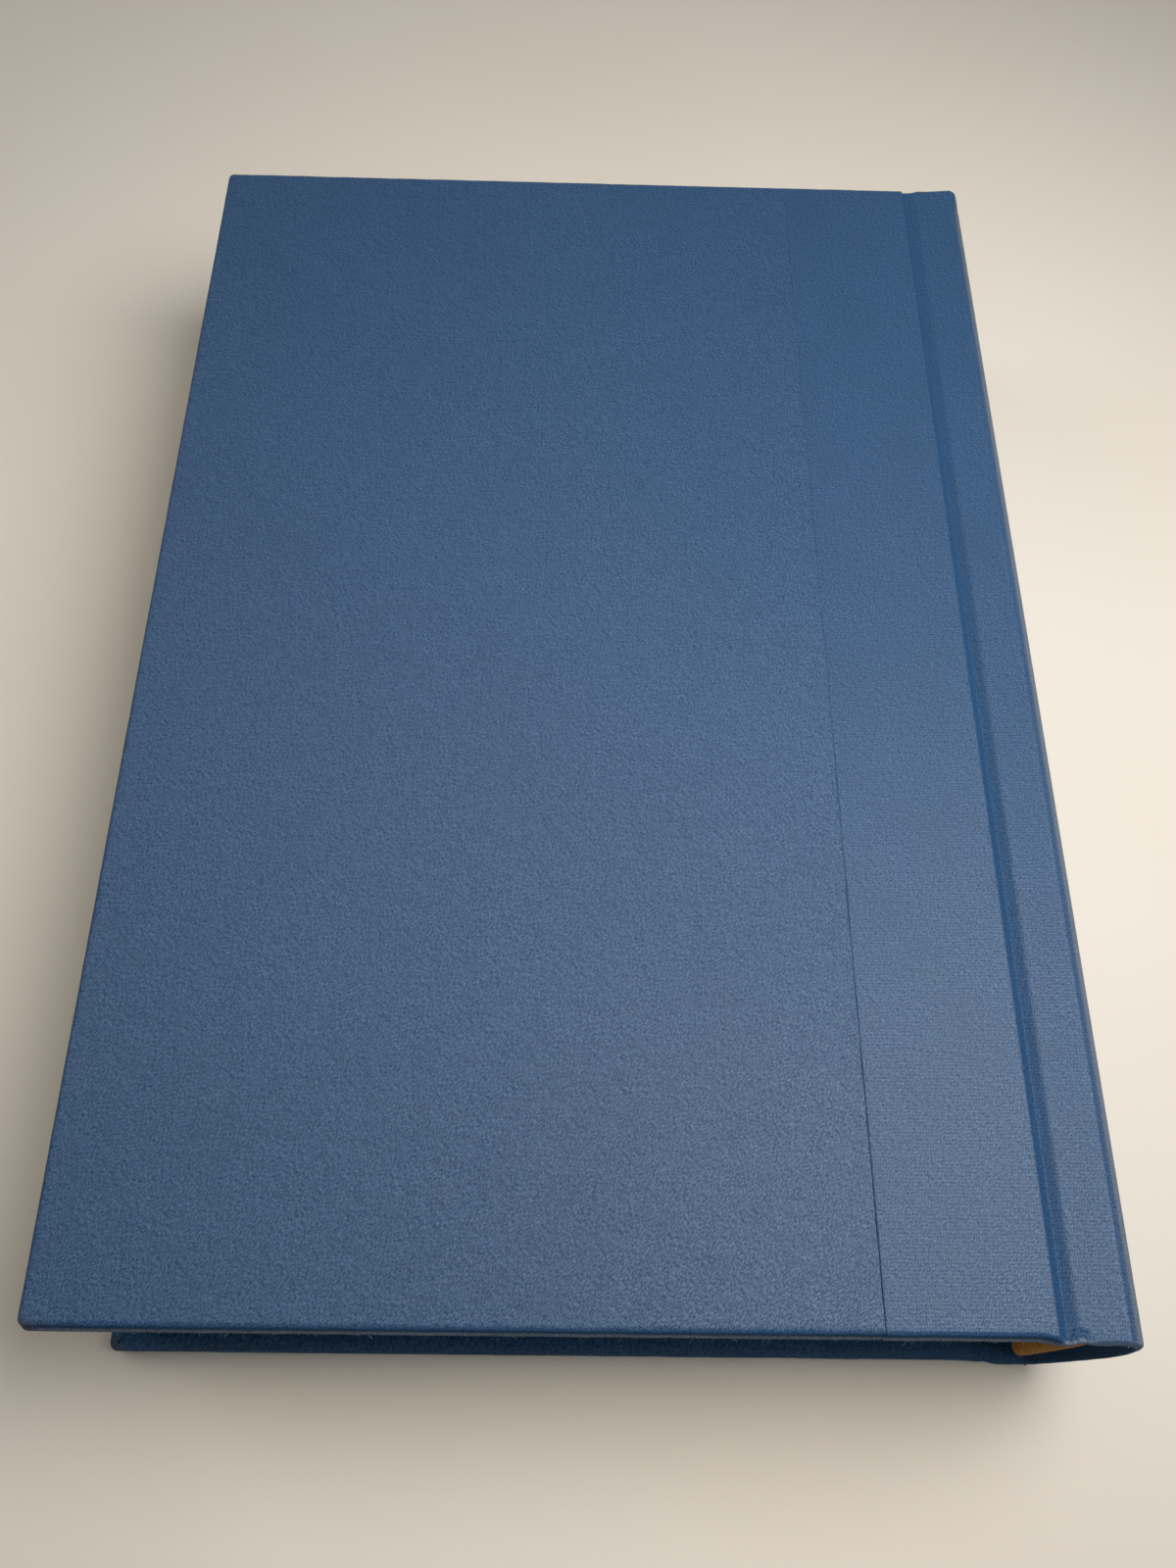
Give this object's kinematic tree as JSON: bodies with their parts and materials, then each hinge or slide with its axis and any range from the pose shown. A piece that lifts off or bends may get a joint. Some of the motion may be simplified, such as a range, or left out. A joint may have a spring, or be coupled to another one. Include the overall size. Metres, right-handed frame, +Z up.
{
  "type": "hardcover book",
  "caption": "Thick case-bound book with plain blue paper sides, a rounded blue cloth spine with French grooves, a hollow back, and covers that open on their hinges.",
  "frame": {"origin": "middle of the footprint, on the surface that the book lies on", "axes": "+X from the fore-edge to the spine, +Y from the tail to the head, +Z up from the front cover to the back cover"},
  "size_m": [0.1662, 0.235, 0.049],
  "materials": {
    "pages": "uncoated cream book paper, trimmed edges",
    "endpaper": "smooth uncoated off-white paper",
    "side_paper": "matte blue cover paper with a fine fibrous felt texture",
    "cloth": "matte blue book cloth with a fine ribbed weave",
    "card": "grey binder's board",
    "lining": "glued gauze and paper",
    "band": "wound mustard thread"
  },
  "bodies": {
    "book_block": {"text_block": "pages", "spine_lining": "lining", "head_band": "band", "tail_band": "band", "front_flyleaf": "endpaper", "back_flyleaf": "endpaper", "spine_stiffener": "card", "spine_cloth": "cloth"},
    "back_cover": {"back_board": "card", "back_side_paper": "side_paper", "back_cloth_lap": "cloth", "back_pastedown": "endpaper"},
    "front_cover": {"front_board": "card", "front_side_paper": "side_paper", "front_cloth_lap": "cloth", "front_pastedown": "endpaper"}
  },
  "joints": [
    {"name": "back_cover_hinge", "type": "hinge", "parent": "book_block", "child": "back_cover", "pos_m": [0.0667, 0, 0.049], "axis": [0, 1, 0], "range_deg": [0, 178]},
    {"name": "front_cover_hinge", "type": "hinge", "parent": "book_block", "child": "front_cover", "pos_m": [0.0667, 0, 0], "axis": [0, -1, 0], "range_deg": [0, 178]}
  ]
}
